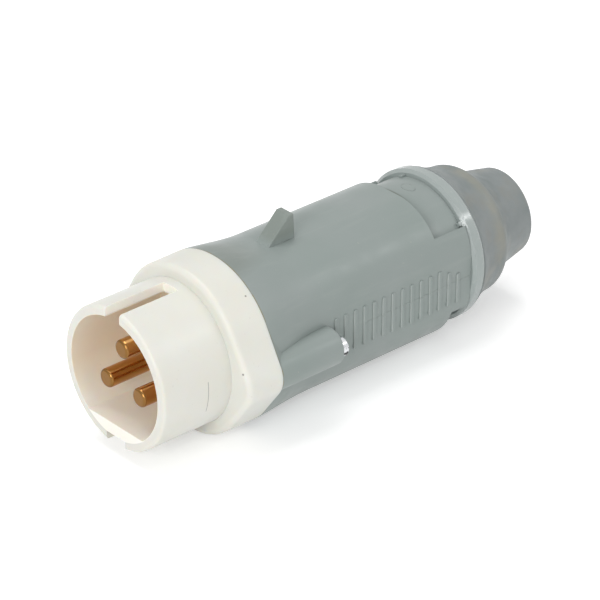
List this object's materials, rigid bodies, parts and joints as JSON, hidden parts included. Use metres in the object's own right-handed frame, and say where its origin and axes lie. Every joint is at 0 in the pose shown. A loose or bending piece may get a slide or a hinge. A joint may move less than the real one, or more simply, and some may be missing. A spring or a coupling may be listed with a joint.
{
  "type": "industrial plug",
  "caption": "Free plug for low-voltage industrial supply: round pins in a slotted skirt, moulded handle with a lid hook, and a turning cable gland with a soft boot.",
  "frame": {"origin": "on the plug's axis, in the plane of the skirt's front rim", "axes": "the plug points towards -Y, its cable leaves towards +Y, the lid hook is on top at +Z"},
  "size_m": [0.0622, 0.158, 0.0584],
  "materials": {
    "white_plastic": "satin",
    "grey_plastic": "satin",
    "grey_ring_plastic": "gloss",
    "soft_grey_boot": "matte",
    "brass_pin": "turned",
    "steel_screw": "zinc plated",
    "seal_rubber": "matte",
    "inner_plastic": "satin"
  },
  "bodies": {
    "plug_body": {"contact_carrier": "white_plastic", "contact_retainer": "inner_plastic", "retainer_screw": "steel_screw", "carrier_gasket": "seal_rubber", "handle": "grey_plastic", "housing_screw_right": "steel_screw", "housing_screw_left": "steel_screw", "cable_seal": "seal_rubber", "thrust_washer": "inner_plastic", "clamp_collet": "inner_plastic", "contact_pin_1": "brass_pin", "terminal_screw_1a": "steel_screw", "terminal_screw_1b": "steel_screw", "contact_pin_2": "brass_pin", "terminal_screw_2a": "steel_screw", "terminal_screw_2b": "steel_screw", "contact_pin_3": "brass_pin", "terminal_screw_3a": "steel_screw", "terminal_screw_3b": "steel_screw"},
    "gland_nut": {"gland_ring": "grey_ring_plastic", "gland_boot": "soft_grey_boot"}
  },
  "joints": [
    {"name": "gland_turn", "type": "hinge", "parent": "plug_body", "child": "gland_nut", "pos_m": [0, 0.122, 0], "axis": [0, -1, 0], "range_deg": [0, 48]}
  ]
}
